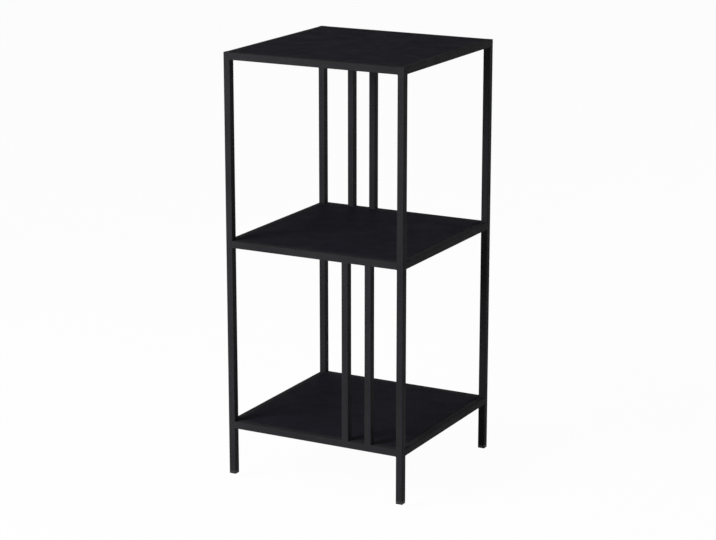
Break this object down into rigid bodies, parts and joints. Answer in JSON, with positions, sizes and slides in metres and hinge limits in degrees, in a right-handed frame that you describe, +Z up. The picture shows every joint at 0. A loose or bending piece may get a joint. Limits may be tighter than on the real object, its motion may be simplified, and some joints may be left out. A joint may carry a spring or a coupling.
{
  "type": "metal shelving unit",
  "caption": "Narrow open shelving unit of black square steel tube with flat sheet decks, upright bars off-centre at front and back, and levelling feet.",
  "frame": {"origin": "on the floor under the middle of the plan", "axes": "+Z up, front towards -Y, +X to the right of someone facing the front"},
  "size_m": [0.406, 0.406, 0.89],
  "materials": {
    "powder_coat": "fine-textured satin black powder coat",
    "black_nylon": "moulded matte black nylon",
    "black_steel": "black zinc plated steel"
  },
  "bodies": {
    "frame": {"leg_front_left": "powder_coat", "leg_cap_front_left": "powder_coat", "foot_insert_front_left": "black_nylon", "leg_front_right": "powder_coat", "leg_cap_front_right": "powder_coat", "foot_insert_front_right": "black_nylon", "leg_back_left": "powder_coat", "leg_cap_back_left": "powder_coat", "foot_insert_back_left": "black_nylon", "leg_back_right": "powder_coat", "leg_cap_back_right": "powder_coat", "foot_insert_back_right": "black_nylon", "front_rail_bottom": "powder_coat", "back_rail_bottom": "powder_coat", "left_rail_bottom": "powder_coat", "right_rail_bottom": "powder_coat", "deck_bottom": "powder_coat", "deck_rib_bottom": "powder_coat", "deck_ledges_bottom": "powder_coat", "front_rail_middle": "powder_coat", "back_rail_middle": "powder_coat", "left_rail_middle": "powder_coat", "right_rail_middle": "powder_coat", "deck_middle": "powder_coat", "deck_rib_middle": "powder_coat", "deck_ledges_middle": "powder_coat", "front_rail_top": "powder_coat", "back_rail_top": "powder_coat", "left_rail_top": "powder_coat", "right_rail_top": "powder_coat", "deck_top": "powder_coat", "deck_rib_top": "powder_coat", "deck_ledges_top": "powder_coat", "front_bar_outer": "powder_coat", "front_bar_inner": "powder_coat", "back_bar_outer": "powder_coat", "back_bar_inner": "powder_coat"},
    "pad_front_left": {"foot_pad_front_left": "black_nylon"},
    "stud_front_left": {"foot_stud_front_left": "black_steel"},
    "pad_front_right": {"foot_pad_front_right": "black_nylon"},
    "stud_front_right": {"foot_stud_front_right": "black_steel"},
    "pad_back_left": {"foot_pad_back_left": "black_nylon"},
    "stud_back_left": {"foot_stud_back_left": "black_steel"},
    "pad_back_right": {"foot_pad_back_right": "black_nylon"},
    "stud_back_right": {"foot_stud_back_right": "black_steel"}
  },
  "joints": [
    {"name": "foot_front_left_travel", "type": "slide", "parent": "frame", "child": "pad_front_left", "axis": [0, 0, -1], "range_m": [0, 0.01]},
    {"name": "foot_front_left_turn", "type": "hinge", "parent": "pad_front_left", "child": "stud_front_left", "pos_m": [-0.1955, -0.1955, 0.0041], "axis": [0, 0, -1], "range_deg": [0, 3600]},
    {"name": "foot_front_right_travel", "type": "slide", "parent": "frame", "child": "pad_front_right", "axis": [0, 0, -1], "range_m": [0, 0.01]},
    {"name": "foot_front_right_turn", "type": "hinge", "parent": "pad_front_right", "child": "stud_front_right", "pos_m": [0.1955, -0.1955, 0.0041], "axis": [0, 0, -1], "range_deg": [0, 3600]},
    {"name": "foot_back_left_travel", "type": "slide", "parent": "frame", "child": "pad_back_left", "axis": [0, 0, -1], "range_m": [0, 0.01]},
    {"name": "foot_back_left_turn", "type": "hinge", "parent": "pad_back_left", "child": "stud_back_left", "pos_m": [-0.1955, 0.1955, 0.0041], "axis": [0, 0, -1], "range_deg": [0, 3600]},
    {"name": "foot_back_right_travel", "type": "slide", "parent": "frame", "child": "pad_back_right", "axis": [0, 0, -1], "range_m": [0, 0.01]},
    {"name": "foot_back_right_turn", "type": "hinge", "parent": "pad_back_right", "child": "stud_back_right", "pos_m": [0.1955, 0.1955, 0.0041], "axis": [0, 0, -1], "range_deg": [0, 3600]}
  ],
  "couplings": [
    {"joint": "foot_front_left_turn", "follows": "foot_front_left_travel", "rad_per_m": 6283.2},
    {"joint": "foot_front_right_turn", "follows": "foot_front_right_travel", "rad_per_m": 6283.2},
    {"joint": "foot_back_left_turn", "follows": "foot_back_left_travel", "rad_per_m": 6283.2},
    {"joint": "foot_back_right_turn", "follows": "foot_back_right_travel", "rad_per_m": 6283.2}
  ]
}
